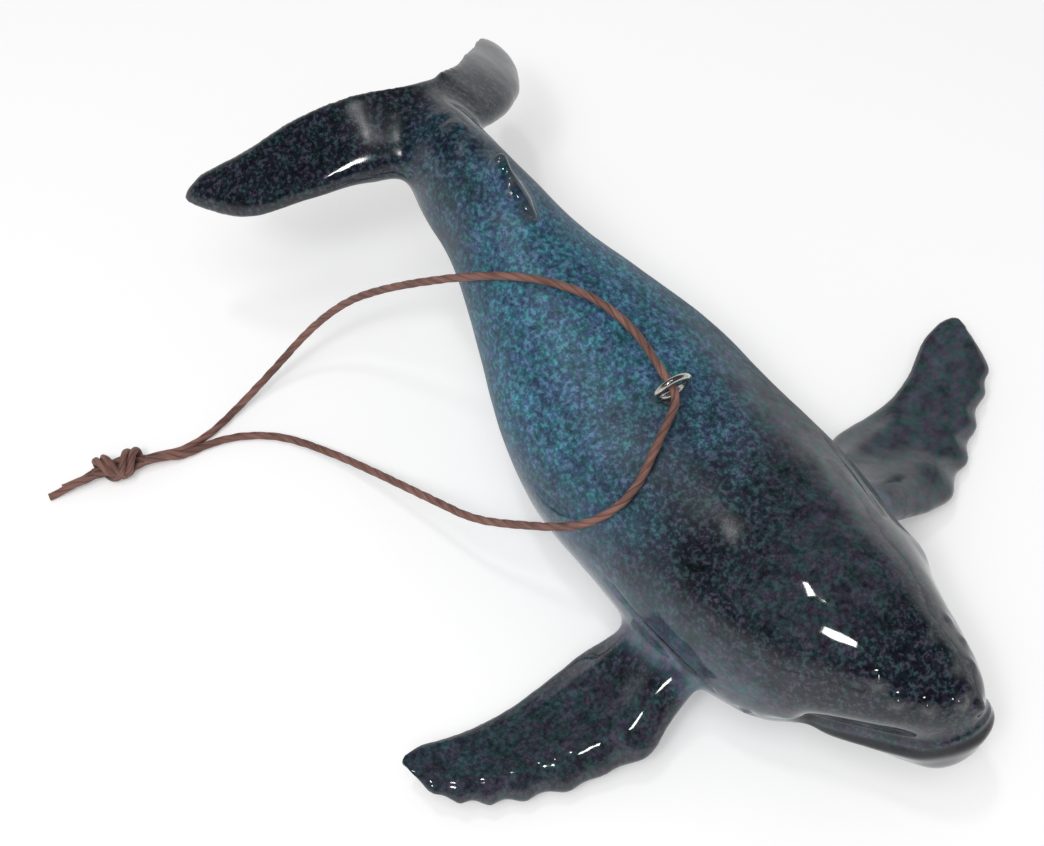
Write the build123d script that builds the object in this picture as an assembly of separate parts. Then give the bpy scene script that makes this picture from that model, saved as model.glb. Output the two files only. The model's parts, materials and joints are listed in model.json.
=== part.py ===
from build123d import *
import os
from math import radians, sqrt, tan

# Whale figurine: hollow porcelain body with separately cast limbs, a wire eye and a cord loop.
# Millimetres. +X to the nose, +Y to the whale's left, +Z up. The floor is Z = 0.

# Overall sizes
overall_length = 116.0
flipper_span = 96.5
body_width = 34.0
stock_height = 38.5
tail_swing = 2.8
wall = 3.0
belly_flat = 0.6

# Body sections, tail to nose: place along half the length, half width as a share of half the
# body width, top and belly as shares of the tail stock's height, sideways place of the swing
place_shares = [-0.76, -0.695, -0.62, -0.48, -0.28, -0.03, 0.21, 0.41, 0.59, 0.76, 0.90, 0.975]
width_shares = [0.19, 0.31, 0.345, 0.395, 0.61, 0.92, 1.0, 0.99, 0.855, 0.575, 0.38, 0.22]
top_shares = [0.95, 0.985, 1.0, 0.98, 0.895, 0.805, 0.735, 0.72, 0.73, 0.71, 0.64, 0.555]
belly_shares = [0.84, 0.70, 0.595, 0.50, 0.32, 0.145, 0.04, 0.0, 0.045, 0.12, 0.175, 0.275]
swing_shares = [1.0, 1.0, 0.8, 0.6, 0.15, -0.1, -0.1, -0.15, -0.35, -0.3, 0.0, 0.1]
nose_height_share = 0.42
cavity_stations = range(3, 11)

# Full belly that the whale rests on: narrower sections hung below the body, tail to throat
keel_stations = range(3, 9)
keel_width_share = 0.6
keel_low_shares = [0.53, 0.21, 0.012, -0.004, 0.0, 0.075]

# Mouth line and throat pleats, cut into the head
mouth_gap = 0.7
mouth_depth = 1.3
mouth_corner_share = 0.70
mouth_height = 14.6
mouth_rise = 16.0
pleat_count = 7
pleat_gap = 0.5
pleat_depth = 0.6
pleat_spacing = 2.2
pleat_length = 34.0
pleat_rear_share = 0.22
pleat_top = 9.0

# Flippers: centre line from root to tip, its places along half the length
flipper_place_shares = [0.426, 0.417, 0.255]
flipper_root_height = 13.7
flipper_bow_height = -3.0
flipper_tip_height = 7.2
flipper_chord = 15.2
flipper_thickness = 4.8
flipper_rake = 17.0
flipper_root_share = 0.26
flipper_span_shares = [0.0, 0.25, 0.5, 0.75, 0.92, 1.0]
flipper_chord_shares = [0.98, 1.0, 0.98, 0.76, 0.56, 0.2]
flipper_thickness_shares = [1.0, 0.88, 0.76, 0.62, 0.5, 0.22]

# Tail flukes: front and back edges from the middle to one tip, as shares of sweep and droop
fluke_span = 53.0
fluke_thickness = 4.4
fluke_roll = -8.6
fluke_pivot_height = 34.0
fluke_place_share = -0.62
fluke_sweep_share = 0.38
fluke_top = 37.3
fluke_droop = 14.7
fluke_span_shares = [0.0, 0.3, 0.6, 0.82, 1.0]
fluke_front_shares = [0.0, 0.16, 0.33, 0.56, 0.93]
fluke_back_shares = [0.41, 0.56, 0.85, 0.96, 1.0]
fluke_front_drop_shares = [0.42, 0.45, 0.58, 0.80, 1.0]
fluke_back_drop_shares = [0.0, 0.07, 0.46, 0.76, 1.0]
fluke_thickness_shares = [1.0, 0.85, 0.65, 0.5, 0.25]

# Dorsal fin, low and hooked, on the tail stock
fin_place_share = -0.457
fin_length = 9.0
fin_height = 3.6
fin_thickness = 2.6
fin_root = 3.0
fin_lean = 2.6
fin_length_shares = [1.0, 0.62, 0.22]
fin_thickness_shares = [1.0, 0.6, 0.35]
fin_height_shares = [0.0, 0.6, 1.0]

# Wire eye in the back, set in a cement plug
ring_place_share = 0.11
ring_outer = 5.2
wire = 0.9
ring_sink = 0.25
shank_length = 6.0
eye_hole = 3.2
cement_recess = 0.4
cement_over = 0.6
bond_gap = 0.02
eye_pitch = 11.0
eye_yaw = -12.0

# Hanging cord: points chosen along its route, from beside the ring to the knot
cord = 1.1
bend_share = 0.45
aft_ring_run = 3.0
fore_ring_run = 2.5
aft_route = [
    (-2.0, 1.4, 32.9), (-8.3, 0.3, 33.9), (-14.6, -3.4, 34.6), (-20.6, -7.6, 32.2),
    (-26.2, -10.2, 28.2), (-31.8, -12.4, 22.8), (-37.2, -15.0, 16.4), (-41.2, -18.8, 10.2),
    (-42.8, -24.0, 5.0), (-42.8, -29.8, 1.8), (-41.8, -35.7, 0.75), (-42.3, -40.3, 0.75),
]
fore_route = [
    (11.4, -4.7, 30.1), (12.5, -9.5, 27.8), (11.6, -14.2, 24.4), (7.8, -17.8, 19.9),
    (2.4, -20.2, 15.8), (-3.6, -21.8, 12.3), (-9.8, -22.9, 9.1), (-16.2, -23.9, 6.1),
    (-22.6, -24.9, 3.6), (-28.8, -26.4, 1.8), (-34.6, -28.9, 0.85), (-38.6, -32.4, 0.75),
    (-40.4, -36.8, 0.75), (-41.1, -40.6, 0.75),
]
knot_centre = (-44.9, -48.0, 2.2)
knot_length = 7.5
knot_width = 5.3
knot_height = 4.4
knot_heading = 247.0
knot_section_shares = [-0.85, -0.6, -0.3, 0.0, 0.3, 0.6, 0.85]
entry_spread = 0.62
entry_drop = 0.5
entry_run = 2.6
long_tail = 6.6
short_tail = 4.4
tail_out_shares = [0.0, 0.24, 0.6, 1.0]
tail_fall_shares = [0.0, 0.0, 0.65, 1.0]
tail_rest_share = 0.6
tail_turn = 14.0

half_length = overall_length / 2
half_width = body_width / 2
all_stations = range(len(place_shares))
centre_plane = Plane.XZ
LEFT = 1
RIGHT = -1
cut_over = 10.0


def station(index):
    """Centre, half width and half height of one body section."""
    x = half_length * place_shares[index]
    top = stock_height * top_shares[index]
    low = stock_height * belly_shares[index] - belly_flat
    centre = Vector(x, tail_swing * swing_shares[index], (top + low) / 2)
    return centre, half_width * width_shares[index], (top - low) / 2


def body_section(index, inset):
    centre, half_across, half_up = station(index)
    plane = Plane(origin=centre, x_dir=(0, 1, 0), z_dir=(1, 0, 0))
    return plane * Ellipse(half_across - inset, half_up - inset)


def keel(inset):
    """Belly form drawn in by an inset, from the middle of the body down to the floor."""
    sections = []
    for index, low_share in zip(keel_stations, keel_low_shares):
        centre, half_across, half_up = station(index)
        low = stock_height * low_share - belly_flat
        middle = Vector(centre.X, centre.Y, (centre.Z + low) / 2)
        plane = Plane(origin=middle, x_dir=(0, 1, 0), z_dir=(1, 0, 0))
        across = half_across * keel_width_share - inset
        sections.append(plane * Ellipse(across, (centre.Z - low) / 2 - inset))
    return loft(sections)


def skin(inset, stations, to_nose):
    """Body form drawn in by an inset, closed at the nose by a point or cut square."""
    sections = [body_section(index, inset) for index in stations]
    if to_nose:
        last_centre = station(stations[-1])[0]
        sections.append(Vertex(half_length - inset, last_centre.Y, stock_height * nose_height_share))
    return loft(sections) + keel(inset)


head_stations = all_stations[cavity_stations[0]:]
outer_form = skin(0, all_stations, True)
cavity = skin(wall, cavity_stations, False)
mouth_core = skin(mouth_depth, head_stations, True)
throat_core = skin(pleat_depth, head_stations, True)


def below_floor():
    block = Box(overall_length + cut_over, body_width + cut_over, cut_over)
    return Pos(0, 0, -cut_over / 2) * block


def mouth_groove():
    """Thin slanting slab from the mouth corners forward, kept to the outer skin."""
    corner_x = half_length * mouth_corner_share
    reach = half_length - corner_x + cut_over
    slab = Box(reach, body_width + cut_over, mouth_gap, align=(Align.MIN, Align.CENTER, Align.CENTER))
    return Pos(corner_x, 0, mouth_height) * Rot(0, -mouth_rise, 0) * slab - mouth_core


def throat_pleats():
    """Lengthwise grooves under the chin and chest, kept to the outer skin."""
    pleat_x = half_length * pleat_rear_share
    slot = Box(pleat_length, pleat_gap, pleat_top + cut_over, align=(Align.MIN, Align.CENTER, Align.MAX))
    middle = (pleat_count - 1) / 2
    slots = [Pos(pleat_x, (n - middle) * pleat_spacing, pleat_top) * slot for n in range(pleat_count)]
    return Part() + slots - throat_core


def eye_frame():
    """Frame on the back's surface: Z out of the back, X along the cord's way through the ring."""
    nearest = min(all_stations, key=lambda index: abs(place_shares[index] - ring_place_share))
    probe = Axis((half_length * ring_place_share, station(nearest)[0].Y, -cut_over), (0, 0, 1))
    hits = [point for point, normal in outer_form.find_intersection_points(probe)]
    seat = max(hits, key=lambda point: point.Z)
    tilt = Plane(origin=seat) * Rot(0, eye_pitch, eye_yaw)
    return Plane(tilt)


def flipper(side):
    """Blade lofted along a bowed centre line, cut to the body's side."""
    tip_y = flipper_span / 2
    root_x, bow_x, tip_x = [half_length * share for share in flipper_place_shares]
    root = Vector(root_x, tip_y * flipper_root_share, flipper_root_height)
    bow = Vector(bow_x, tip_y * (1 + flipper_root_share) / 2, flipper_bow_height)
    tip = Vector(tip_x, tip_y, flipper_tip_height)
    rake = Vector(1, 0, 0).rotate(Axis.Z, flipper_rake)
    sections = []
    for place, chord, depth in zip(flipper_span_shares, flipper_chord_shares, flipper_thickness_shares):
        centre = root * (1 - place) ** 2 + bow * (2 * place * (1 - place)) + tip * place**2
        along = ((bow - root) * (1 - place) + (tip - bow) * place).normalized()
        across = (rake - along * rake.dot(along)).normalized()
        plane = Plane(origin=centre, x_dir=across, z_dir=along)
        sections.append(plane * Ellipse(flipper_chord * chord / 2, flipper_thickness * depth / 2))
    blade = loft(sections)
    if side == RIGHT:
        blade = mirror(blade, centre_plane)
    return blade - outer_form


def tail_flukes():
    """Two swept, drooping blades from one middle section, rolled and cut to the tail stock."""
    sections = []
    foremost = half_length * fluke_place_share
    sweep_back = half_length * fluke_sweep_share
    for index, out in enumerate(fluke_span_shares):
        front_x = foremost - sweep_back * fluke_front_shares[index]
        back_x = foremost - sweep_back * fluke_back_shares[index]
        front_z = fluke_top - fluke_droop * fluke_front_drop_shares[index]
        back_z = fluke_top - fluke_droop * fluke_back_drop_shares[index]
        front = Vector(front_x, fluke_span / 2 * out, front_z)
        back = Vector(back_x, fluke_span / 2 * out, back_z)
        chord = front - back
        plane = Plane(origin=(front + back) / 2, x_dir=chord, z_dir=(0, 1, 0))
        depth = fluke_thickness * fluke_thickness_shares[index]
        sections.append(plane * Ellipse(chord.length / 2, depth / 2))
    blade = loft(sections)
    plate = Pos(0, tail_swing, 0) * (blade + mirror(blade, centre_plane))
    pivot = Axis((0, tail_swing, fluke_pivot_height), (1, 0, 0))
    return plate.rotate(pivot, fluke_roll) - outer_form


def dorsal_fin():
    """Low fin lofted upward from inside the stock, cut to the stock's back."""
    stock = [index for index in all_stations if place_shares[index] < fin_place_share][-1]
    fin_x = half_length * fin_place_share
    foot = stock_height * top_shares[stock]
    sway = tail_swing * swing_shares[stock]
    sections = [Pos(fin_x, sway, foot - fin_root) * Ellipse(fin_length / 2, fin_thickness / 2)]
    for up, long, thick in zip(fin_height_shares, fin_length_shares, fin_thickness_shares):
        place = Pos(fin_x - fin_lean * up, sway, foot + fin_height * up)
        sections.append(place * Ellipse(fin_length * long / 2, fin_thickness * thick / 2))
    return loft(sections) - outer_form


eye = eye_frame()
ring_middle = ring_outer / 2 - wire / 2
ring_centre = eye.from_local_coords((0, 0, ring_outer / 2 - ring_sink))
through = eye.x_dir


def hanger_eye():
    """Closed wire ring with one straight shank down into the cement."""
    ring = Plane(origin=ring_centre, z_dir=through) * Torus(ring_middle, wire / 2)
    shank_plane = Plane(origin=ring_centre - eye.z_dir * ring_middle, z_dir=-eye.z_dir)
    shank = shank_plane * Cylinder(wire / 2, shank_length, align=(Align.CENTER, Align.CENTER, Align.MIN))
    return ring + shank


def eye_bore(radius, start, length):
    """Cylinder down the eye's axis from a depth below the back."""
    plane = Plane(origin=eye.origin - eye.z_dir * start, z_dir=-eye.z_dir)
    return plane * Cylinder(radius, length, align=(Align.CENTER, Align.CENTER, Align.MIN))


def eye_cement():
    plug = eye_bore(eye_hole / 2 - bond_gap, cement_recess, wall + cement_over - cement_recess)
    return plug - eye_bore(wire / 2 + bond_gap, -ring_outer, ring_outer + shank_length + cut_over)


def body_shell():
    shell = outer_form - cavity - below_floor()
    shell -= mouth_groove()
    shell -= throat_pleats()
    return shell - eye_bore(eye_hole / 2, -ring_outer, ring_outer + wall + cement_over)


def bend_radii(points):
    """Largest arc at each corner that its two runs leave room for."""
    radii = []
    for before, corner, after in zip(points, points[1:], points[2:]):
        arriving = corner - before
        leaving = after - corner
        half_turn = radians(arriving.get_angle(leaving)) / 2
        radii.append(bend_share * min(arriving.length, leaving.length) / tan(half_turn))
    return radii


def cord_tube(name, points):
    """Round tube along straight runs joined by tangent arcs."""
    points = [Vector(*point) for point in points]
    radii = bend_radii(points)
    line = FilletPolyline(*points, radius=radii)
    profile = Plane(origin=line @ 0, z_dir=line % 0) * Circle(cord / 2)
    tube = sweep(profile, path=line)
    section = Circle(cord / 2).area
    print(name, "length", round(line.length, 1), "volume ratio", round(tube.volume / section / line.length, 3))
    print("  radii", [round(radius, 1) for radius in radii])
    return tube


heading = Vector(1, 0, 0).rotate(Axis.Z, knot_heading)
sideways = Vector(0, 0, 1).cross(heading)
knot_middle = Vector(*knot_centre)
face_reach = knot_length / 2 * knot_section_shares[-1]


def knot_port(end, side, run):
    """Point on or off a knot end face: end is -1 towards the ring, 1 towards the tails."""
    port = knot_middle + heading * (end * (face_reach + run)) + sideways * (side * entry_spread)
    return port - Vector(0, 0, entry_drop)


def cord_leg(name, route, side, run):
    """From the middle of the ring, straight through it, along the route and into the knot."""
    first = ring_centre + through * (side * run)
    last = [knot_port(-1, side, entry_run), knot_port(-1, side, 0)]
    return cord_tube(name, [ring_centre, first] + route + last)


def cord_tail(name, side, length):
    """Cut end that leaves the knot level and droops to the floor, spreading a little."""
    start = knot_port(1, side, 0)
    droop = start.Z - cord * tail_rest_share
    points = []
    turned = heading.rotate(Axis.Z, tail_turn)
    for out, fall in zip(tail_out_shares, tail_fall_shares):
        course = heading * (1 - fall) + turned * fall
        spread = sideways * (side * entry_spread * fall)
        points.append(start + course * (length * out) + spread - Vector(0, 0, droop * fall))
    return cord_tube(name, points)


def cord_knot():
    """Outer form of the overhand knot, flat where the cord runs in and out."""
    sections = []
    for share in knot_section_shares:
        plane = Plane(origin=knot_middle + heading * (knot_length / 2 * share), x_dir=sideways, z_dir=heading)
        round_share = sqrt(1 - share**2)
        sections.append(plane * Ellipse(knot_width / 2 * round_share, knot_height / 2 * round_share))
    return loft(sections)


nodes = {
    "body_shell": body_shell(),
    "left_flipper": flipper(LEFT),
    "right_flipper": flipper(RIGHT),
    "tail_flukes": tail_flukes(),
    "dorsal_fin": dorsal_fin(),
    "hanger_eye": hanger_eye(),
    "eye_cement": eye_cement(),
    "cord_aft_leg": cord_leg("cord_aft_leg", aft_route, RIGHT, aft_ring_run),
    "cord_fore_leg": cord_leg("cord_fore_leg", fore_route, LEFT, fore_ring_run),
    "cord_knot": cord_knot(),
    "cord_long_tail": cord_tail("cord_long_tail", LEFT, long_tail),
    "cord_short_tail": cord_tail("cord_short_tail", RIGHT, short_tail),
}

os.makedirs("parts", exist_ok=True)
for name, solid in nodes.items():
    export_step(solid, f"parts/{name}.step")

print("ring centre", ring_centre, "cord axis", through)
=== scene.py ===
import json
import math

import bmesh
import bpy
import numpy as np
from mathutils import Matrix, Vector, noise
from mathutils.bvhtree import BVHTree


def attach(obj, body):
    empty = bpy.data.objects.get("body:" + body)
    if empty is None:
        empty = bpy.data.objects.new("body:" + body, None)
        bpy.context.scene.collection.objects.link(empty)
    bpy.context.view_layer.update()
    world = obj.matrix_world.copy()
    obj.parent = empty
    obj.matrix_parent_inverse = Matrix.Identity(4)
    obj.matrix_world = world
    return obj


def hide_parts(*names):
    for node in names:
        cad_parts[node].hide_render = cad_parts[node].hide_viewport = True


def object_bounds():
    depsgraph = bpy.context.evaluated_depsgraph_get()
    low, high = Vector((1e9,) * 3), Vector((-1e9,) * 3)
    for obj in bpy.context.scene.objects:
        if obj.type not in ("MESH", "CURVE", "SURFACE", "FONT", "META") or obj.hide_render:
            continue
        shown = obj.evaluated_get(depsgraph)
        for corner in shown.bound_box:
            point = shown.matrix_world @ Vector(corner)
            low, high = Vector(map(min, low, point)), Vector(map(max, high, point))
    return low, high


bl_info = {
    "name": "Porcelain whale ornament",
    "version": (1, 0, 0),
    "blender": (4, 5, 0),
    "location": "3D View > Sidebar > Whale",
    "description": "Glazed porcelain whale with a wire eye and a knotted cord loop",
    "category": "Object",
}

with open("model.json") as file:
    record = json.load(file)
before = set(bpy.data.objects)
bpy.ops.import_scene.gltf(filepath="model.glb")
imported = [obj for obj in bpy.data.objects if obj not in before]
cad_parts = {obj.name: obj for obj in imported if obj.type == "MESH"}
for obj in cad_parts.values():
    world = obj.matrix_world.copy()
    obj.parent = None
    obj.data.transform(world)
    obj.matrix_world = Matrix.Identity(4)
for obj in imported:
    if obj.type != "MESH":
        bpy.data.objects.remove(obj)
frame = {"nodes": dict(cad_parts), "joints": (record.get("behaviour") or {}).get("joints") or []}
cad_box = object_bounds()

MM = 0.001
HINGE = frame["joints"][0]
RING_CENTRE = np.array(HINGE["pos_m"]) / MM
RING_WAY = -np.array(HINGE["axis"])

# Body sections from tail to nose, in millimetres and in shares of the sizes below
HALF_LENGTH = 58.0
HALF_WIDTH = 17.0
STOCK_HEIGHT = 38.5
TAIL_SWING = 2.8
# How far the belly would reach under the floor, where it is cut flat
BELLY_FLAT = 0.6
PLACES = np.array([
    -0.76, -0.695, -0.62, -0.48, -0.28, -0.03, 0.21, 0.41, 0.59, 0.76, 0.90, 0.975])
WIDTHS = np.array([0.19, 0.31, 0.345, 0.395, 0.61, 0.92, 1.0, 0.99, 0.855, 0.575, 0.38, 0.22])
TOPS = np.array([0.95, 0.985, 1.0, 0.98, 0.895, 0.805, 0.735, 0.72, 0.73, 0.71, 0.64, 0.555])
BELLIES = np.array([0.84, 0.70, 0.595, 0.50, 0.32, 0.145, 0.04, 0.0, 0.045, 0.12, 0.175, 0.275])
SWINGS = np.array([1.0, 1.0, 0.8, 0.6, 0.15, -0.1, -0.1, -0.15, -0.35, -0.3, 0.0, 0.1])
NOSE_HEIGHT = 0.42
# Fuller belly from this section on: its share of the width, and its lowest points
KEEL_FIRST = 3
KEEL_WIDTH = 0.6
KEEL_LOWS = np.array([0.53, 0.21, 0.012, -0.004, 0.0, 0.075])

# Cord routes beside the ring and on to the knot, in millimetres
AFT_ROUTE = [
    (-2.0, 1.6, 32.8), (-8.4, 0.4, 33.9), (-14.6, -3.7, 34.6), (-20.4, -7.7, 32.3),
    (-25.9, -10.4, 28.1), (-31.8, -12.6, 22.6), (-37.4, -14.9, 16.3), (-41.1, -18.7, 9.7),
    (-42.5, -23.9, 4.3), (-42.5, -29.9, 1.5), (-41.7, -35.9, 0.75), (-42.2, -40.5, 0.75),
]
FORE_ROUTE = [
    (9.4, -3.3, 30.3), (10.7, -6.6, 28.9), (12.1, -10.1, 27.2), (11.9, -13.6, 24.9),
    (9.4, -17.0, 21.7), (3.0, -19.5, 16.6), (-3.7, -21.8, 11.8), (-10.0, -22.6, 8.9),
    (-16.4, -23.5, 6.1), (-22.6, -24.5, 3.6), (-28.6, -26.0, 1.8), (-35.0, -28.7, 0.9),
    (-38.9, -32.8, 0.75), (-40.7, -36.9, 0.75), (-41.4, -40.7, 0.75),
]
# First step of each leg out of the ring, along the ring's axis
AFT_RUN = 3.0
FORE_RUN = 1.5
# The knot: its middle, the cord's way through it, and from its middle to the legs' ends
KNOT_CENTRE = np.array([-44.9, -48.0, 2.2])
KNOT_HEADING = math.radians(247.0)
KNOT_FACE = 3.1875
# The two strands beside the knot: half their distance sideways and upwards, their drop under the
# knot's middle, and their straight run before it
ENTRY_SPREAD = 0.42
ENTRY_STACK = 0.3
ENTRY_DROP = 0.6
ENTRY_RUN = 2.6
# How far the knot's strands reach into the legs and the tails
OVERLAP = 0.3


# Points round each ring, rings along each form, and how the rings crowd towards a round end
BODY_MESH = (300, 300, 1.6)
KEEL_MESH = (96, 90)
FLIPPER_MESH = (120, 240, 1.35)
FLUKE_MESH = (96, 300)
FIN_MESH = (80, 80)
# Doubled vertices closer than this are joined: in millimetres for a form, in metres for the cord
FORM_WELD = 1e-5
CORD_WELD = 1e-7


def across_points(places, values, at):
    """Smooth curve through given values, with each slope taken from its neighbours."""
    places = np.asarray(places, float)
    values = np.asarray(values, float)
    slopes = np.gradient(values, places, axis=0)
    at = np.clip(at, places[0], places[-1])
    index = np.clip(np.searchsorted(places, at) - 1, 0, len(places) - 2)
    gap = places[index + 1] - places[index]
    t = (at - places[index]) / gap
    low, high = values[index], values[index + 1]
    rise_low, rise_high = slopes[index] * gap, slopes[index + 1] * gap
    return (
        low * (2 * t**3 - 3 * t**2 + 1) + rise_low * (t**3 - 2 * t**2 + t)
        + high * (3 * t**2 - 2 * t**3) + rise_high * (t**3 - t**2)
    )


def ease(low, high, value):
    t = np.clip((value - low) / (high - low), 0, 1)
    return t * t * (3 - 2 * t)


def hump(distance, width):
    return np.exp(-((distance / width) ** 2))


def welded(mesh, gap):
    """The mesh with its doubled vertices joined and its normals outward."""
    work = bmesh.new()
    work.from_mesh(mesh)
    bmesh.ops.remove_doubles(work, verts=work.verts, dist=gap)
    bmesh.ops.recalc_face_normals(work, faces=work.faces)
    work.to_mesh(mesh)
    work.free()
    return mesh


def closed_form(rings):
    """Closed mesh over a stack of rings with equal counts."""
    rings = list(rings)
    count = len(rings[0])
    points = np.vstack([*rings, rings[0].mean(0), rings[-1].mean(0)])
    last = (len(rings) - 1) * count
    low, high = len(points) - 2, len(points) - 1
    faces = [
        (start + k, start + (k + 1) % count, start + count + (k + 1) % count, start + count + k)
        for start in range(0, last, count) for k in range(count)
    ]
    for k in range(count):
        n = (k + 1) % count
        faces += [(low, n, k), (high, last + k, last + n)]
    mesh = bpy.data.meshes.new("form")
    mesh.from_pydata(points.tolist(), [], faces)
    return welded(mesh, FORM_WELD)


def turn(count):
    return np.linspace(0, 2 * math.pi, count, endpoint=False)


def columns(x, y, z):
    """Points from their coordinates, each of them one number or one for every point."""
    return np.stack(np.broadcast_arrays(x, y, z), axis=1)


def ovals(count, *stations):
    """Elliptical rings from each station's place, side, half width, middle and half height."""
    angle = turn(count)
    for x, y, wide, middle, tall in zip(*stations):
        yield columns(x, y + wide * np.cos(angle), middle + tall * np.sin(angle))


def crowded(count, power):
    """Shares from 0 to 1 that lie closer together towards 1."""
    return 1 - (1 - np.linspace(0, 1, count)) ** power


def blade_round(count, fullness):
    """Round a blade's section: forward, upward, and its height with a fuller front."""
    angle = turn(count)
    across, upright = np.cos(angle), np.sin(angle)
    lift = np.sign(upright) * np.abs(upright) ** np.where(across > 0, fullness, 1.0)
    return across, upright, lift


def closing(place, start, end):
    """From 1 at the start of a blade's round tip to 0 at its end."""
    return math.sqrt(max(1 - max((place - start) / (end - start), 0) ** 2, 0))


def body_rings():
    """Elliptical sections of the body, closely spaced towards the round nose."""
    places = np.append(PLACES, 1.0) * HALF_LENGTH
    low = np.append(BELLIES * STOCK_HEIGHT - BELLY_FLAT, NOSE_HEIGHT * STOCK_HEIGHT)
    top = np.append(TOPS, NOSE_HEIGHT) * STOCK_HEIGHT
    swing = np.append(SWINGS, SWINGS[-1]) * TAIL_SWING
    width = np.append(WIDTHS, 0.0) * HALF_WIDTH
    around, rings, crowding = BODY_MESH
    along = places[0] + (places[-1] - places[0]) * crowded(rings, crowding)
    wide = np.sqrt(np.maximum(across_points(places, width**2, along), 0))
    tall = np.sqrt(np.maximum(across_points(places, ((top - low) / 2) ** 2, along), 0))
    middle = across_points(places, (top + low) / 2, along)
    side = across_points(places, swing, along)
    return ovals(around, along, side, wide, middle, tall)


# Line between the lips: place and height of its corner, its slope, and its rise at the front
MOUTH_CORNER = 40.4
MOUTH_HEIGHT = 10.1
MOUTH_SLOPE = math.tan(math.radians(23.5))
MOUTH_TURN = 1.8
# How far the upper jaw is set back over it, and the rim of the lower one by its height there
JAW_STEP = 1.8
RIM_HEIGHTS = [-3.5, -2.0, -0.9, -0.3, 0.0]
RIM_INSETS = [0.8, 0.4, 0.2, 0.7, JAW_STEP]


def over_lips(points):
    """Height of each point over the line between the lips, and how far in front of their corner."""
    x, y, z = points.T
    line = MOUTH_HEIGHT + MOUTH_SLOPE * (x - MOUTH_CORNER) + MOUTH_TURN * ease(53.0, 57.0, x)
    return z - line, ease(0.0, 2.2, x - MOUTH_CORNER)


def jawed(mesh):
    """Sets the upper jaw back over the rim of the lower one, before the skin is made even."""
    points, normals = read_points(mesh), read_normals(mesh)
    rise, ahead = over_lips(points)
    above = JAW_STEP * ease(7.5, 1.0, rise)
    below = np.interp(rise, RIM_HEIGHTS, RIM_INSETS)
    inset = ahead * np.where(rise > 0, above, below) * (1 - 0.4 * ease(50.0, 56.0, points[:, 0]))
    points -= normals * inset[:, None]
    settle(mesh, points)


def keel_rings():
    """Fuller belly under the body, which the whale rests on."""
    stations = range(KEEL_FIRST, KEEL_FIRST + len(KEEL_LOWS))
    places = PLACES[stations] * HALF_LENGTH
    body_low = BELLIES[stations] * STOCK_HEIGHT - BELLY_FLAT
    top = (TOPS[stations] * STOCK_HEIGHT + body_low) / 2
    low = KEEL_LOWS * STOCK_HEIGHT - BELLY_FLAT
    around, rings = KEEL_MESH
    along = np.linspace(places[0], places[-1], rings)
    wide = across_points(places, WIDTHS[stations] * HALF_WIDTH * KEEL_WIDTH, along)
    side = across_points(places, SWINGS[stations] * TAIL_SWING, along)
    top, low = across_points(places, top, along), across_points(places, low, along)
    return ovals(around, along, side, wide, (top + low) / 2, (top - low) / 2)


# The left blade's middle line, and the sizes of both. Side 1 is the left and -1 the right
FLIPPER_ROOT = np.array([24.708, 12.545, 13.7])
FLIPPER_BOW = np.array([24.186, 30.398, -3.0])
FLIPPER_TIP = np.array([14.79, 48.25, 7.2])
FLIPPER_RAKE = math.radians(17.0)
FLIPPER_THICKNESS = 4.8
FLIPPER_FULLNESS = 0.95
FLIPPER_CLOSING = 0.9
CREST_HEIGHT = 0.5
ROLL_HEIGHT = 1.2
FLIPPER_ENDS = {-1: 1.015, 1: 1.03}
FLIPPER_PLACES = [0.0, 0.1, 0.2, 0.3, 0.4, 0.5, 0.6, 0.7, 0.8, 0.88, 0.94, 1.0]
FLIPPER_DEPTHS = [1.0, 0.97, 0.94, 0.9, 0.87, 0.84, 0.8, 0.75, 0.7, 0.62, 0.52, 0.38]
# Reach of each blade before and behind its middle line
FRONT_REACHES = {
    -1: [6.2, 6.0, 6.7, 7.9, 6.9, 6.4, 5.6, 5.0, 4.4, 3.6, 2.7, 1.2],
    1: [5.2, 5.3, 6.2, 7.4, 7.7, 6.9, 6.4, 5.7, 5.1, 4.6, 3.8, 1.8],
}
BACK_REACHES = {
    -1: [6.8, 7.0, 7.5, 8.2, 7.9, 7.4, 6.7, 6.1, 5.4, 4.9, 4.7, 4.6],
    1: [7.0, 7.5, 8.3, 8.8, 8.8, 7.8, 6.6, 5.5, 4.9, 4.9, 4.9, 4.6],
}
# Knobs along the front edge: place along the blade, reach and width
FLIPPER_KNOBS = {
    -1: ((0.31, 0.4, 0.06), (0.44, 0.3, 0.03), (0.555, 0.8, 0.034), (0.68, 0.85, 0.032),
         (0.78, 0.9, 0.028), (0.865, 0.85, 0.026), (0.94, 0.6, 0.022)),
    1: ((0.40, 0.5, 0.05), (0.57, 0.85, 0.034), (0.70, 0.8, 0.032), (0.82, 0.85, 0.032),
        (0.90, 0.75, 0.028)),
}


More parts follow.
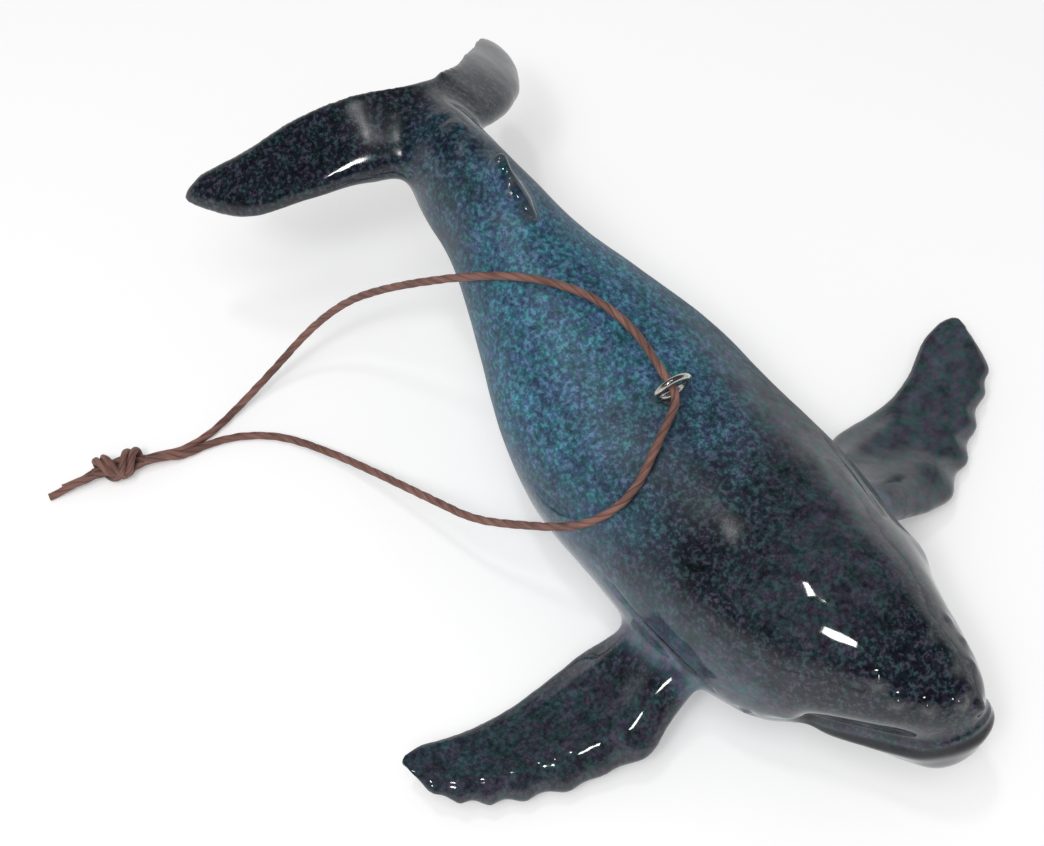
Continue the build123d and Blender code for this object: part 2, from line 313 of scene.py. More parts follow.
def flipper_rings(side):
    """Blade along its bowed centre line, with a crest on top and knobs along the front edge."""
    rake = np.array([math.cos(FLIPPER_RAKE), math.sin(FLIPPER_RAKE), 0])
    around, rings, crowding = FLIPPER_MESH
    across, upright, lift = blade_round(around, FLIPPER_FULLNESS)
    end = FLIPPER_ENDS[side]
    for place in end * crowded(rings, crowding):
        centre = (
            FLIPPER_ROOT * (1 - place) ** 2
            + FLIPPER_BOW * 2 * place * (1 - place)
            + FLIPPER_TIP * place**2
        )
        along = (FLIPPER_BOW - FLIPPER_ROOT) * (1 - place) + (FLIPPER_TIP - FLIPPER_BOW) * place
        along /= np.linalg.norm(along)
        chordwise = rake - along * rake.dot(along)
        chordwise /= np.linalg.norm(chordwise)
        upward = -np.cross(along, chordwise)
        close = closing(place, FLIPPER_CLOSING, end)
        front = across_points(FLIPPER_PLACES, FRONT_REACHES[side], place)
        back = across_points(FLIPPER_PLACES, BACK_REACHES[side], place)
        shift, half = (front - back) / 2, (front + back) / 2 * close
        knob = sum(reach * hump(place - spot, wide) for spot, reach, wide in FLIPPER_KNOBS[side])
        edge = np.clip(across, 0, 1)
        reach = shift + half * across + knob * edge**3 * close
        depth = FLIPPER_THICKNESS / 2 * across_points(FLIPPER_PLACES, FLIPPER_DEPTHS, place)
        thick = lift * depth * close**0.6
        thick += knob * edge**1.2 * upright * close
        crest = CREST_HEIGHT * ease(0.04, 0.2, place) * ease(0.75, 0.35, place)
        crest = crest * hump(across + 0.65 - 0.45 * place, 0.17)
        roll = ROLL_HEIGHT * ease(0.02, 0.2, place) * ease(1.05, 0.7, place)
        roll = roll * hump(across - 0.58, 0.36)
        thick += (crest + roll) * (upright > 0)
        ring = centre + np.outer(reach, chordwise) + np.outer(thick, upward)
        ring[:, 1] *= side
        yield ring


FLUKE_THICKNESS = 4.4
FLUKE_FULLNESS = 0.7
FLUKE_CLOSING = 0.88
FLUKE_ARCH = 0.3
FLUKE_ROLL = math.radians(-8.6)
FLUKE_PIVOT = np.array([0.0, TAIL_SWING, 34.0])
FLUKE_FRONT = -35.96
FLUKE_SWEEP = 22.04
FLUKE_TOP = 37.3
FLUKE_DROOP = 14.7
# The front and rear lines out to the tip: shares of the sweep and of the droop, and the depth
FLUKE_SPANS = [0.0, 0.3, 0.6, 0.82, 1.0]
FRONT_SHARES = [0.0, 0.16, 0.33, 0.56, 0.93]
BACK_SHARES = [0.41, 0.56, 0.85, 0.96, 1.0]
FRONT_DROPS = [0.42, 0.45, 0.58, 0.80, 1.0]
BACK_DROPS = [0.0, 0.07, 0.46, 0.76, 1.0]
FLUKE_DEPTHS = [1.0, 0.92, 0.8, 0.68, 0.5]
FLUKE_REACHES = {-1: 26.0, 1: 26.7}
# Moves of each side's edges beyond those lines
TRIM_PLACES = [0.0, 0.15, 0.3, 0.45, 0.6, 0.7, 0.82, 0.88, 0.94, 1.0]
FRONT_TRIMS = {
    -1: [1.0, 1.2, 0.9, 0.2, 0.3, 0.4, 1.2, 1.7, 1.8, 1.6],
    1: [0.3, 0.4, 0.6, 1.1, 1.3, 1.3, 1.3, 1.8, 2.6, 3.0],
}
BACK_TRIMS = {
    -1: [1.2, 0.8, 0.7, 0.2, -0.9, -1.0, -0.2, 0.3, 0.6, 0.9],
    1: [1.2, -0.5, -1.7, -2.6, -2.6, -2.0, -0.7, 0.2, 1.0, 1.6],
}


def fluke_rings():
    """Both drooping blades from tip to tip, through the notch in the middle."""
    around, rings = FLUKE_MESH
    across, upright, lift = blade_round(around, FLUKE_FULLNESS)
    spin = np.array([
        [1, 0, 0],
        [0, math.cos(FLUKE_ROLL), -math.sin(FLUKE_ROLL)],
        [0, math.sin(FLUKE_ROLL), math.cos(FLUKE_ROLL)],
    ])
    for out in np.sin(np.linspace(-math.pi / 2, math.pi / 2, rings)):
        share, side = abs(out), 1 if out > 0 else -1
        head, rear = (
            np.array([FLUKE_FRONT - FLUKE_SWEEP * across_points(FLUKE_SPANS, shares, share), 0,
                      FLUKE_TOP - FLUKE_DROOP * across_points(FLUKE_SPANS, drops, share)])
            for shares, drops in ((FRONT_SHARES, FRONT_DROPS), (BACK_SHARES, BACK_DROPS))
        )
        chord = (head - rear) / np.linalg.norm(head - rear)
        head = head + chord * across_points(TRIM_PLACES, FRONT_TRIMS[side], share)
        rear = rear - chord * across_points(TRIM_PLACES, BACK_TRIMS[side], share)
        close = closing(share, FLUKE_CLOSING, 1.0)
        half = np.linalg.norm(head - rear) / 2 * close
        upward = np.array([-chord[2], 0, chord[0]])
        depth = FLUKE_THICKNESS * across_points(FLUKE_SPANS, FLUKE_DEPTHS, share) / 2 * close**0.6
        middle = (head + rear) / 2 + np.array([0, FLUKE_REACHES[side] * out, 0])
        arch = FLUKE_ARCH + (upright > 0) * 0.45 * ease(0.6, 0.2, share)
        thick = lift * depth * (1 + arch * across)
        ring = middle + np.outer(across * half, chord) + np.outer(thick, upward)
        ring[:, 1] += TAIL_SWING
        yield (ring - FLUKE_PIVOT) @ spin.T + FLUKE_PIVOT


# Foot and tip of the fin: place along the body and height, in millimetres, with half its
# thickness and how much its foot spreads
FIN_FRONT = -20.0
FIN_BACK = -30.6
FIN_FOOT = 37.6
FIN_TOP = 40.7
FIN_TIP = -26.9
FIN_SWAY = 1.7
FIN_LEAN = 1.5
FIN_HALF = 2.0
FIN_SPREAD = 0.6


def fin_rings():
    """Low hooked fin, spreading into the stock at its foot."""
    around, rings = FIN_MESH
    angle = turn(around)
    for up in np.linspace(-0.5, 1, rings):
        rise = max(up, 0.0)
        front = FIN_FRONT + (FIN_TIP + 0.5 - FIN_FRONT) * rise**0.6
        back = FIN_BACK + (FIN_TIP - 0.6 - FIN_BACK) * rise**0.55
        spread = 1 + FIN_SPREAD * max(-up, 0)
        thick = FIN_HALF * (1 - 0.65 * rise**0.6) * math.sqrt(max(1 - rise**8, 0.02)) * spread
        long = (front - back) / 2 * math.sqrt(max(1 - rise**8, 0.1)) * spread
        across = np.cos(angle)
        side = FIN_SWAY + FIN_LEAN * rise + thick * np.sin(angle) * (1 - 0.55 * across)
        height = FIN_FOOT + (FIN_TOP - FIN_FOOT) * up
        yield columns((front + back) / 2 + long * across, side, height)


def signs(operation):
    """The methods of one sign, with the socket on its left and on its right."""
    return (lambda self, other: self.math(operation, self, other),
            lambda self, other: self.math(operation, other, self))


class Sock:
    """A node socket that takes part in sums and products, adding Math nodes as it goes."""

    __add__, __radd__ = signs("ADD")
    __sub__, __rsub__ = signs("SUBTRACT")
    __mul__, __rmul__ = signs("MULTIPLY")
    __truediv__, __rtruediv__ = signs("DIVIDE")
    __pow__, __rpow__ = signs("POWER")

    def __init__(self, maker, socket):
        self.maker = maker
        self.socket = socket

    def math(self, operation, *values):
        return self.maker.add("ShaderNodeMath", dict(enumerate(values)), operation=operation)

    def clamp(self):
        return self.math("MINIMUM", self.math("MAXIMUM", self, 0.0), 1.0)

    def absolute(self):
        return self.math("ABSOLUTE", self)


class Maker:
    """Adds nodes to one tree: the type, what its sockets take, then its settings."""

    def __init__(self, tree, clear=False):
        self.tree = tree
        if clear:
            tree.nodes.clear()

    def end(self, kind, last):
        """Output node of the tree, which takes the last socket."""
        self.tree.links.new(last.socket, self.tree.nodes.new(kind).inputs[0])

    def add(self, kind, inputs=None, output=0, **settings):
        node = self.tree.nodes.new(kind)
        for name, value in settings.items():
            setattr(node, name, value)
        for name, value in (inputs or {}).items():
            if isinstance(value, Sock):
                self.tree.links.new(value.socket, node.inputs[name])
            else:
                node.inputs[name].default_value = value
        return Sock(self, node.outputs[output])

    def smooth(self, value, low, high):
        return self.add("ShaderNodeMapRange", {"Value": value, 1: low, 2: high},
                        interpolation_type="SMOOTHSTEP")

    def band(self, value, low, full, fade, end):
        """Rises from low to full and falls from fade to end."""
        return self.smooth(value, low, full) * (1 - self.smooth(value, fade, end))

    def mix(self, factor, *colours):
        first, second = (c if isinstance(c, Sock) else (*c, 1) for c in colours)
        return self.add("ShaderNodeMix", {0: factor, 6: first, 7: second}, 2, data_type="RGBA")

    def layers(self, base, *coats):
        """A colour with others over it, each by its share."""
        for share, colour in coats:
            base = self.mix(share, base, colour)
        return base

    def noise(self, place, scale, detail=3.0, roughness=0.55, seed=0.0):
        inputs = {"Vector": place, "W": seed, "Scale": scale, "Detail": detail,
                  "Roughness": roughness}
        return self.add("ShaderNodeTexNoise", inputs, noise_dimensions="4D")

    def bump(self, height, strength, distance):
        return self.add("ShaderNodeBump",
                        {"Strength": strength, "Distance": distance, "Height": height})

    def parts(self, vector):
        """The three numbers of a vector."""
        node = self.add("ShaderNodeSeparateXYZ", {0: vector}).socket.node
        return [Sock(self, socket) for socket in node.outputs]

    def times(self, first, second):
        """Product of two vectors or colours."""
        return self.add("ShaderNodeVectorMath", {0: first, 1: second}, operation="MULTIPLY")

    def attribute(self, name, output="Fac"):
        return self.add("ShaderNodeAttribute", None, output, attribute_name=name)

    def place_mm(self):
        """Object coordinates in millimetres."""
        return self.times(self.add("ShaderNodeTexCoord", None, "Object"), (1 / MM,) * 3)


def with_nodes(holder):
    """Maker on the emptied node tree of a new material or world."""
    holder.use_nodes = True
    return Maker(holder.node_tree, clear=True)


def new_material(name, build, **constants):
    """Material whose build function gives the links of the Principled shader's sockets."""
    material = bpy.data.materials.new(name)
    make = with_nodes(material)
    inputs = {**constants, **build(make)}
    make.end("ShaderNodeOutputMaterial", make.add("ShaderNodeBsdfPrincipled", inputs))
    return material


def glaze_nodes(sizes):
    """Speckled glaze: teal on the back, near black on head, limbs and tail, grey low down.

    The zones' bounds are in millimetres along the whale's axes."""
    def build(make):
        smooth, band, noise_at = make.smooth, make.band, make.noise
        where = make.place_mm()
        x, y, z = make.parts(where)
        thin, pool_and_mouth_shade, chin, ridge = map(make.attribute, ("thin", "pool_and_mouth_shade", "chin", "ridge"))
        cloud = noise_at(where, 0.12, 2.0) - 0.5
        blotch = noise_at(where, 0.5, 3.0, 0.6, 2.0)
        grain = noise_at(where, sizes.grain, 2.5, 0.7, 5.0)
        along = x + cloud * 20
        away = y.absolute()
        teal = band(along, -44, -14, -6, 26) * (1 - smooth(away, 16, 24) * 0.7)
        low = (1 - smooth(z + cloud * 8, 9, 25)) * (1 - smooth(away, 17, 20))
        low = low * smooth(x, -36, -20) * (1 - smooth(x, 32, 44) * 0.7)
        # Pale bloom on the left shoulder, the crown and the flippers, partly painted sheen that
        # stands in for reflections of the walls and lamps
        shoulder = band(x, 6, 20, 29, 38) * smooth(y, -5, 7)
        crown = band(x, 22, 32, 38, 46) * smooth(z, 23, 26)
        limbs = (smooth(away, 17, 24) + smooth(y, 17, 24) * 0.4) * smooth(x, 0, 9)
        bloom_and_sheen = (shoulder + crown + limbs) * (0.25 + blotch)
        # Painted sheen: a pale colour high on the left flank that stands in for the reflection of
        # the bright walls there
        painted_sheen = smooth(y, 4, 11) * band(x, -10, 15, 44, 54)
        painted_sheen = painted_sheen * (1 - smooth(y, 16, 19)) * smooth(z, 12, 20)
        pale = make.mix(teal, sizes.dark_speckle, sizes.light)
        night = make.mix(teal, sizes.night, sizes.deep)
        dark_grains = (1 - smooth(grain, 0.32, 0.5)) * (0.85 - bloom_and_sheen * 0.4)
        base = make.layers(
            make.mix(teal, sizes.dark, sizes.teal), (bloom_and_sheen * 0.6, sizes.bloom_and_sheen),
            (smooth(grain, 0.48, 0.62) * 0.9, pale), (dark_grains, night),
            (low * 0.8, sizes.grey), (painted_sheen * 0.6, sizes.painted_sheen))
        tint = noise_at(where, sizes.grain * 0.6, 2.0, 0.6, 9.0)
        hue = make.mix(smooth(tint, 0.36, 0.64), (0.72, 1.14, 0.98), (1.30, 0.88, 1.12))
        mottle = noise_at(where, sizes.grain * 0.32, 3.0, 0.6, 7.0)
        level = dict.fromkeys(range(3), blotch + mottle * 2.0 - 0.5)
        base = make.times(make.times(base, hue), make.add("ShaderNodeCombineXYZ", level))
        # Last coats: the chin's colour, the fin's darker edge, thin glaze on ridges, and pooled
        # glaze with the painted shade of the mouth's gap
        base = make.layers(base, (chin * 0.8, sizes.chin), (ridge * 0.6, sizes.dark),
                           (thin * 0.45, sizes.thin), (pool_and_mouth_shade * 0.9, sizes.night))
        ripple = make.bump(noise_at(where, 0.35, 1.0, 0.5, 3.0), 0.5, 0.00007)
        satin = band(x + cloud * 6, -38, -30, 14, 30) * (1 - smooth(away, 14, 18)) * (1 - ridge)
        stock_end = (1 - smooth(x, -42, -36)) * (1 - smooth(away, 3, 9))
        satin = (satin + stock_end * 0.6).clamp()
        root = band(y, 8, 14, 26, 34) * 0.16
        rough = 0.035 + 0.05 * blotch + root + satin * (0.3 + 0.25 * grain)
        return {"Base Color": base, "Roughness": rough, "Normal": ripple}
    return build


def metal_nodes(make):
    """Drawn nickel wire, dulled in patches."""
    where = make.place_mm()
    cloud = make.noise(where, 1.4, 3.0)
    colour = make.mix(make.smooth(cloud, 0.4, 0.7), (0.62, 0.60, 0.56), (0.40, 0.38, 0.35))
    drawn = make.bump(make.noise(where, 9.0, 2.0), 0.2, 0.00003)
    return {"Base Color": colour, "Roughness": 0.14 + 0.16 * cloud, "Normal": drawn}


def cement_nodes(make):
    """Matt grey cement with a gritty face."""
    grit = make.noise(make.place_mm(), 5.0, 4.0, 0.7)
    colour = make.mix(make.smooth(grit, 0.35, 0.65), (0.03, 0.03, 0.032), (0.12, 0.115, 0.11))
    return {"Base Color": colour, "Roughness": 0.75 + 0.15 * grit,
            "Normal": make.bump(grit, 0.6, 0.0001)}


def cord_nodes(make):
    """Waxed twisted cotton: streaks that follow the twist, paler where the wax is rubbed, and
    painted shade in the grooves between the plies.
    """
    where = make.place_mm()
    ply, along = make.attribute("ply"), make.attribute("along")
    around = make.parts(make.attribute("around", "Vector"))
    lay = make.add("ShaderNodeCombineXYZ",
                   {0: around[0] * 1.6, 1: around[1] * 1.6, 2: along * 260.0})
    streak = make.noise(lay, 1.0, 3.0, 0.65, 1.0)
    cloud = make.noise(where, 0.22, 3.0, 0.55, 4.0)
    fibre = make.noise(where, 6.0, 3.0, 0.7, 6.0)
    brown = make.mix(make.smooth(cloud, 0.38, 0.62), (0.155, 0.075, 0.060), (0.245, 0.120, 0.096))
    rubbed = make.smooth(streak, 0.5, 0.7) * 0.55
    waxed = (1 - make.smooth(streak, 0.32, 0.48)) * 0.5
    # Painted shade: darker in the grooves between the plies
    groove = (1 - make.smooth(ply, 0.1, 0.75)) * 0.5
    brown = make.layers(brown, (rubbed, (0.36, 0.20, 0.155)), (waxed, (0.055, 0.020, 0.016)),
                        (groove, (0.040, 0.016, 0.013)))
    return {"Base Color": brown, "Roughness": 0.45 + 0.25 * fibre,
            "Normal": make.bump(streak + fibre * 0.5, 0.6, 0.0001)}


def glaze_colour(name, description, *default):
    return bpy.props.FloatVectorProperty(
        name=name, description=description, subtype="COLOR", size=3, default=default, min=0, max=1)


class GlazeSizes(bpy.types.PropertyGroup):
    voxel: bpy.props.FloatProperty(
        name="Mesh pitch", description="Spacing of the porcelain mesh, in millimetres",
        default=0.345, min=0.25, max=1.0)
    grain: bpy.props.FloatProperty(
        name="Speckle density", description="Speckles to the millimetre in the glaze",
        default=1.6, min=0.3, max=5.0)
    teal: glaze_colour(
        "Back colour", "Glaze on the middle of the back", 0.026, 0.090, 0.142)
    light: glaze_colour(
        "Back speckle", "Palest grains on the middle of the back", 0.072, 0.205, 0.280)
    deep: glaze_colour(
        "Back dark speckle", "Darkest grains on the middle of the back", 0.007, 0.024, 0.055)
    dark: glaze_colour(
        "Head colour", "Glaze on the head, limbs and tail", 0.009, 0.012, 0.018)
    dark_speckle: glaze_colour(
        "Head speckle", "Palest grains on the head, limbs and tail", 0.042, 0.056, 0.070)
    # Also the painted shade in the mouth's gap
    night: glaze_colour(
        "Head dark speckle", "Darkest grains, glaze pooled in the creases, and painted shade in the mouth", 0.002, 0.003, 0.005)
    grey: glaze_colour(
        "Low flank colour", "Thin glaze low on the flanks and belly", 0.105, 0.150, 0.192)
    # Painted sheen high on the left flank, in place of the walls' reflection
    painted_sheen: glaze_colour(
        "Left flank colour", "Painted sheen high on the left flank", 0.105, 0.122, 0.128)
    # Pale bloom, partly painted sheen in place of reflections of the walls and lamps
    bloom_and_sheen: glaze_colour(
        "Shoulder colour", "Pale bloom and painted sheen on the left shoulder and the flippers", 0.047, 0.058, 0.068)
    thin: glaze_colour(
        "Edge colour", "Glaze drawn thin over ridges", 0.085, 0.090, 0.092)
    chin: glaze_colour(
        "Chin colour", "Paler glaze on the front of the lower jaw", 0.042, 0.041, 0.045)


class CordSizes(bpy.types.PropertyGroup):
    diameter: bpy.props.FloatProperty(
        name="Cord diameter", description="Thickness of the waxed cord",
        default=0.0011, min=0.0005, max=0.004, unit="LENGTH", subtype="DISTANCE")
    pitch: bpy.props.FloatProperty(
        name="Twist", description="Length of one full turn of the twist",
        default=0.0072, min=0.001, max=0.02, unit="LENGTH", subtype="DISTANCE")
    plies: bpy.props.IntProperty(
        name="Plies", description="Strands twisted together", default=3, min=2, max=5)


class StageSizes(bpy.types.PropertyGroup):
    azimuth: bpy.props.FloatProperty(
        name="Camera turn", description="Direction that the camera looks from, round the object",
        default=math.radians(48.941), subtype="ANGLE", unit="ROTATION")
    elevation: bpy.props.FloatProperty(
        name="Camera height", description="Angle of the camera above the horizon",
        default=math.radians(57.243), subtype="ANGLE", unit="ROTATION")
    distance: bpy.props.FloatProperty(
        name="Camera distance", description="From the camera to the point it looks at",
        default=0.22246, min=0.05, max=2.0, unit="LENGTH", subtype="DISTANCE")
    lens: bpy.props.FloatProperty(
        name="Lens", description="Focal length for a 36 mm sensor", default=64.71, min=10, max=300)


def plain_object(name, data):
    made = bpy.data.objects.new(name, data)
    bpy.context.scene.collection.objects.link(made)
    return made


def coat(mesh, material):
    mesh.materials.clear()
    mesh.materials.append(material)


def read(items, name, width=3, kind=np.float32):
    """One row of numbers for each of a mesh's items."""
    values = np.empty(len(items) * width, kind)
    items.foreach_get(name, values)
    return values.reshape(-1, width)


def read_points(mesh):
    return read(mesh.vertices, "co").astype(float)


def read_normals(mesh):
    return read(mesh.vertex_normals, "vector").astype(float)


def settle(mesh, points):
    mesh.vertices.foreach_set("co", points.astype(np.float32).ravel())
    mesh.update()


def baked(source):
    """Plain mesh of an object with its modifiers applied."""
    evaluated = source.evaluated_get(bpy.context.evaluated_depsgraph_get())
    return bpy.data.meshes.new_from_object(evaluated)


def cast_in_one(forms, pitch):
    """One even mesh over all the overlapping forms."""
    work = bmesh.new()
    for mesh in forms:
        work.from_mesh(mesh)
    joined = bpy.data.meshes.new("joined")
    work.to_mesh(joined)
    work.free()
    made = plain_object("joined", joined)
    modifier = made.modifiers.new("even", "REMESH")
    modifier.mode = "VOXEL"
    modifier.voxel_size = pitch
    bpy.context.view_layer.update()
    mesh = baked(made)
    bpy.data.objects.remove(made)
    return mesh


# Pulls of one round of smoothing: towards the neighbours' mean, and back to keep the volume
SMOOTHING = (0.55, -0.56)
PLAIN_PULL = (0.55,)


def mean_near(values, edges):
    """Mean of each point's neighbours, for one column of values."""
    total = np.bincount(edges[:, 0], values[edges[:, 1]], len(values))
    total += np.bincount(edges[:, 1], values[edges[:, 0]], len(values))
    return total / np.bincount(edges.ravel(), minlength=len(values))


def offsets(points, edges):
    """From each point to the mean of its neighbours."""
    return np.stack([mean_near(column, edges) for column in points.T], axis=1) - points


def relaxed(points, edges, weight, rounds, pulls=SMOOTHING):
    """Points moved by each pull in turn, for a number of rounds."""
    for pull in pulls * rounds:
        points = points + offsets(points, edges) * pull * weight[:, None]
    return points


def gaps_to(form, points, far=4.0):
    """Distance of each point from a form's skin."""
    faces = [p.vertices[:] for p in form.polygons]
    tree = BVHTree.FromPolygons([v.co for v in form.vertices], faces)
    found = np.full(len(points), far)
    for k, point in enumerate(points):
        distance = tree.find_nearest(point, far)[3]
        if distance is not None:
            found[k] = distance
    return found


# Knobs of the upper lip, on its right side, and of the crown, in millimetres: height, width, spots
HEAD_KNOBS = (
    (0.75, 0.85, ((54.9, 0.9, 21.8), (53.7, -0.9, 23.5), (51.6, -3.6, 23.4), (49.1, -5.5, 23.2),
                  (46.4, -6.1, 24.4))),
    (0.3, 1.0, ((50.5, 0.0, 24.4), (46.6, 0.1, 25.6), (42.6, -0.2, 26.6))),
)
# A knob this far off the middle has a lower one opposite, since the photo hardly shows that side
KNOB_MIDDLE = 2
FAR_KNOB = 0.3
# Eyes on the right and the left: middle, and height and width of the swelling round them
EYES = {-1: ((36.1, -14.6, 11.4), 0.1, 3.0), 1: ((36.8, 14.6, 13.4), 0.5, 3.0)}
BLOWHOLES = np.array([32.5, 1.1, 27.8])
# Swellings beside the fin and over the left eye: middle, height and width
BUMPS = (((-22.9, 4.2, 36.8), 0.2, 2.2), ((37.5, 13.8, 18.5), 1.2, 3.2))
# Low swellings and dents: height, middle and width along X, and the fades over Y and over Z
SWELLINGS = (
    (-0.6, 13.5, 7.0, (-9.0, -14.0), (-2.0, -1.0)), (0.4, 47.0, 7.0, (4.0, 8.0), (14.0, 18.0)),
    (-0.8, 41.0, 2.4, (-7.0, -10.0), (14.0, 11.0)), (0.35, -4.0, 15.0, (5.0, 10.0), (17.0, 23.0)),
)
# Half width of the hole in the glaze round the wire's shank
EYE_HOLE = 0.9
# The fin's edge, along which the glaze is darker and glossier
FIN_RIDGE = [(-26.9, 3.2, 40.7), (-24.2, 2.6, 38.9), (-20.0, 1.7, 36.8)]
# Fold over the right flipper, dent behind it, and the rim of the left shoulder: line, depth, width
CREASES = [
    ([(13.5, -17.3, 15.8), (19.5, -17.3, 15.4), (24.1, -17.1, 15.0), (29.0, -16.6, 14.0),
      (33.0, -15.6, 12.4)], 0.45, 0.35),
    ([(0.7, -16.0, 20.0), (3.6, -16.3, 20.0), (6.6, -16.2, 20.2)], 0.3, 0.35),
    ([(19.1, 13.5, 22.3), (26.0, 12.3, 23.3), (33.2, 10.0, 24.1)], 0.35, 0.45),
]
# Distances of the throat's pleats, and of the knuckles along the tail stock, and their relief
PLEAT_PITCH = 2.2
PLEAT_DEPTH = 0.5
KNUCKLE_PITCH = 2.9
KNUCKLE_HEIGHT = 0.3
# Relief of the upper lip's rim, of the eyes and the folds round them, and of the blowholes
LIP_HEIGHT = 0.3
EYE_HEIGHT = 0.2
EYE_FOLD = 1.0
BLOWHOLE_DEPTH = 0.16
BLOWHOLE_RIM = 0.12
# Waviness of the cast: heights in millimetres, and waves to the millimetre
SLOW_WAVE = (0.22, 0.11)
QUICK_WAVE = (0.03, 0.42)


def distances(points, spot):
    return np.linalg.norm(points - spot, axis=1)


def polyline_gap(points, line):
    """Distance of each point from a polyline and the share of the way along it."""
    best = np.full(len(points), 1e9)
    share = np.zeros(len(points))
    line = np.array(line, float)
    for k, (a, b) in enumerate(zip(line, line[1:])):
        way = b - a
        t = np.clip(((points - a) @ way) / way.dot(way), 0, 1)
        gap = distances(points - a, t[:, None] * way)
        nearer = gap < best
        best[nearer] = gap[nearer]
        share[nearer] = ((k + t) / (len(line) - 1))[nearer]
    return best, share


def carved(points):
    """How far each point of the porcelain moves along its normal: lips, knobs, pleats, creases."""
    x, y, z = points.T
    push = np.zeros(len(points))
    rise, ahead = over_lips(points)
    push += LIP_HEIGHT * ahead * hump(rise - 0.7, 0.5)
    for height, middle, width, over_y, over_z in SWELLINGS:
        push += height * hump(x - middle, width) * ease(*over_y, y) * ease(*over_z, z)
    for height, width, knobs in HEAD_KNOBS:
        for knob in knobs:
            for side in ((-1, 1) if abs(knob[1]) > KNOB_MIDDLE else (-1,)):
                away = distances(points, np.array(knob) * (1, -side, 1))
                away = distances(points, points[np.argmin(away)])
                push += height * (1.0 if side < 0 else FAR_KNOB) * hump(away, width)
    for side, (eye, height, width) in EYES.items():
        away = distances(points, eye)
        push += height * hump(away, width) + EYE_HEIGHT * hump(away, 0.7)
        push -= EYE_HEIGHT * hump(np.abs(away - EYE_FOLD), 0.28) * (z < eye[2] + 1.2)
        hole = BLOWHOLES * (1, side, 1)
        along = x - hole[0]
        outward = (y - hole[1]) - side * 0.18 * along
        push -= BLOWHOLE_DEPTH * hump(outward, 0.4) * hump(along, 1.5) * (z > 20)
        rim = np.hypot(along / 2.2, y - hole[1] - side * 0.7)
        push += BLOWHOLE_RIM * hump(rim, 1.0) * (z > 20)
    for spot, height, width in BUMPS:
        push += height * hump(distances(points, spot), width)
    for line, depth, width in CREASES:
        gap, share = polyline_gap(points, line)
        fade = ease(0, 0.12, share) * ease(1, 0.85, share)
        push -= depth * hump(gap, width) * fade
    under = ease(10.5, 8.0, z) * ease(12.0, 14.5, x) * ease(48.0, 44.5, x) * (np.abs(y) < 8.2)
    phase = y / PLEAT_PITCH
    groove = np.abs(phase - np.round(phase)) * PLEAT_PITCH
    push -= PLEAT_DEPTH * hump(groove, 0.3) * under
    stock_top = ease(33.0, 36.0, z) * ease(-21.0, -24.0, x) * (np.abs(y - 2.0) < 4)
    knuckle = 0.5 + 0.5 * np.cos((x + 30) * 2 * math.pi / KNUCKLE_PITCH)
    push += stock_top * KNUCKLE_HEIGHT * knuckle * hump(y - 2.0, 1.4) * ease(-42, -36, x)
    return push


def uneven(points):
    """Slow hand-made waviness of the cast surface."""
    wave = np.empty(len(points))
    for k, point in enumerate(points):
        slow = noise.noise(Vector(point) * SLOW_WAVE[1])
        quick = noise.noise(Vector(point) * QUICK_WAVE[1] + Vector((7.0, 3.0, 1.0)))
        wave[k] = SLOW_WAVE[0] * slow + QUICK_WAVE[0] * quick
    return wave


def dimple(points):
    """Glaze drawn up round the wire's shank, down to the cement in its hole."""
    away = points - RING_CENTRE
    axis = ring_normal()
    along = away @ axis
    off = distances(away, np.outer(along, axis))
    near = np.abs(along) < 6
    return near * (0.2 * hump(off - 1.3, 0.5) - 0.6 * ease(EYE_HOLE + 0.3, EYE_HOLE - 0.1, off))


def ring_normal():
    """The wire shank's own direction, out of the back."""
    across = np.cross(RING_WAY, (0, 1, 0))
    across /= np.linalg.norm(across)
    return across if across[2] > 0 else -across


def flow(points, normals, edges):
    """Where the glaze is drawn thin over ridges, where it pools in hollows, and the mouth's gap,
    darkened with pooled glaze and painted shade.
    """
    x, y, z = points.T
    lengths = np.linalg.norm(points[edges[:, 0]] - points[edges[:, 1]], axis=1)
    bend = -2 * (offsets(points, edges) * normals).sum(1) / (lengths**2).mean()
    for _ in range(4):
        bend = mean_near(bend, edges)
    rise, ahead = over_lips(points)
    # Painted shade in the gap between the lips, over glaze pooled there
    mouth_gap_shade = ahead * ease(0.35, 0.05, rise) * ease(-1.9, -1.2, rise)
    gap, _ = polyline_gap(points, FIN_RIDGE)
    return {
        "ridge": ease(1.7, 0.9, gap),
        "thin": ease(0.2, 0.6, bend),
        "pool_and_mouth_shade": np.maximum(ease(0.1, 0.45, -bend), mouth_gap_shade),
        "chin": ease(46.0, 51.0, x) * ease(-1.5, -2.2, rise) * ease(4.0, 8.0, z),
    }


PORCELAIN = ("body_shell", "left_flipper", "right_flipper", "tail_flukes", "dorsal_fin")
# Reach of the smoothing where each limb meets the body, in millimetres, and its rounds
FILLETS = ((2.2, 24), (2.2, 24), (5.0, 90), (2.2, 6))
# Rounds of smoothing over the whole skin, before and after it is carved
EVEN_ROUNDS = 3
SKIN_ROUNDS = 2
# How much nearer a limb's skin must be than the body's for a face to be the limb's
BODY_BIAS = 0.12
# Label of the faces that close a piece where it is parted from the others
CAP = -1
# Least distance of the porcelain from the sides of the CAD's box
BOX_MARGIN = 0.02


def label_faces(mesh, forms):
    """Which porcelain piece each face belongs to, by the form whose skin is nearest."""
    centres = read(mesh.polygons, "center").astype(float)
    gaps = np.stack([gaps_to(form, centres) for form in forms], axis=1)
    gaps[:, 0] = np.minimum(gaps[:, 0], gaps[:, -1]) - BODY_BIAS
    return np.argmin(gaps[:, :-1], axis=1)


